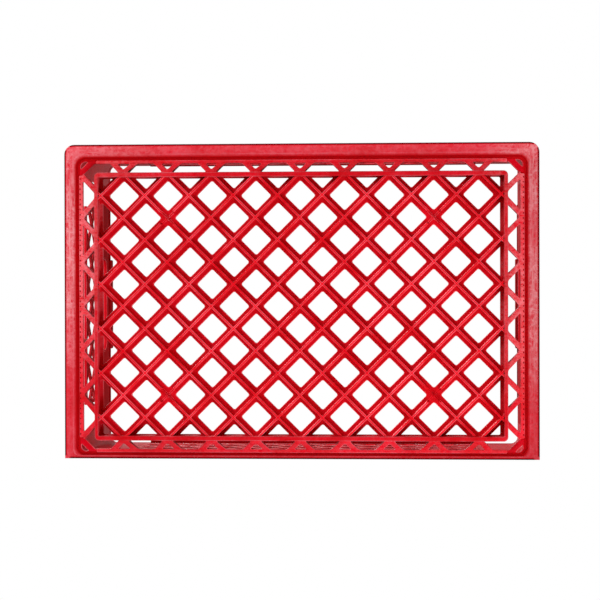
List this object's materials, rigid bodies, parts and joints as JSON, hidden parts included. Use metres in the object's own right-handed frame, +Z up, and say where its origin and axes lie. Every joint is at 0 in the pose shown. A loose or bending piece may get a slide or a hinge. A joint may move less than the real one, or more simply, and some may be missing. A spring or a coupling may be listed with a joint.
{
  "type": "plastic stacking crate",
  "caption": "Open-topped rectangular plastic crate with lattice floor and walls, a stacking ring under the floor, a flat base ledge, a thin rim and a hand slot in each end.",
  "frame": {"origin": "on the surface the crate stands on, under the middle of its floor", "axes": "+X along the long sides, +Y across the crate, +Z up out of its open top"},
  "size_m": [0.482, 0.33, 0.28],
  "materials": {
    "crate_plastic": "satin moulded polyethylene, saturated red",
    "worn_plastic": "satin moulded polyethylene, red with pale scuffs and flow marks"
  },
  "bodies": {
    "root": {"floor_grid": "crate_plastic", "stacking_ring": "worn_plastic", "floor_edge_front": "worn_plastic", "floor_edge_back": "worn_plastic", "floor_edge_left": "worn_plastic", "floor_edge_right": "worn_plastic", "corner_gusset_front_left": "crate_plastic", "corner_gusset_front_right": "crate_plastic", "corner_gusset_back_left": "crate_plastic", "corner_gusset_back_right": "crate_plastic", "base_ledge_front": "worn_plastic", "base_ledge_back": "worn_plastic", "base_ledge_left": "worn_plastic", "base_ledge_right": "worn_plastic", "lower_band_front": "worn_plastic", "lower_band_back": "worn_plastic", "lower_band_left": "worn_plastic", "lower_band_right": "worn_plastic", "corner_post_front_left": "crate_plastic", "corner_post_front_right": "crate_plastic", "corner_post_back_left": "crate_plastic", "corner_post_back_right": "crate_plastic", "wall_lattice_front": "crate_plastic", "wall_lattice_back": "crate_plastic", "wall_lattice_left": "crate_plastic", "wall_lattice_right": "crate_plastic", "slot_post_left_1": "crate_plastic", "slot_post_left_2": "crate_plastic", "slot_post_left_3": "crate_plastic", "slot_post_left_4": "crate_plastic", "slot_post_right_1": "crate_plastic", "slot_post_right_2": "crate_plastic", "slot_post_right_3": "crate_plastic", "slot_post_right_4": "crate_plastic", "handle_panel_left": "crate_plastic", "handle_panel_right": "crate_plastic", "handle_grip_left": "worn_plastic", "handle_grip_right": "worn_plastic", "top_rim_front": "worn_plastic", "top_rim_back": "worn_plastic", "top_rim_left": "worn_plastic", "top_rim_right": "worn_plastic", "rim_lip_front": "crate_plastic", "rim_lip_back": "crate_plastic", "rim_lip_left_1": "crate_plastic", "rim_lip_left_2": "crate_plastic", "rim_lip_right_1": "crate_plastic", "rim_lip_right_2": "crate_plastic"}
  },
  "joints": []
}
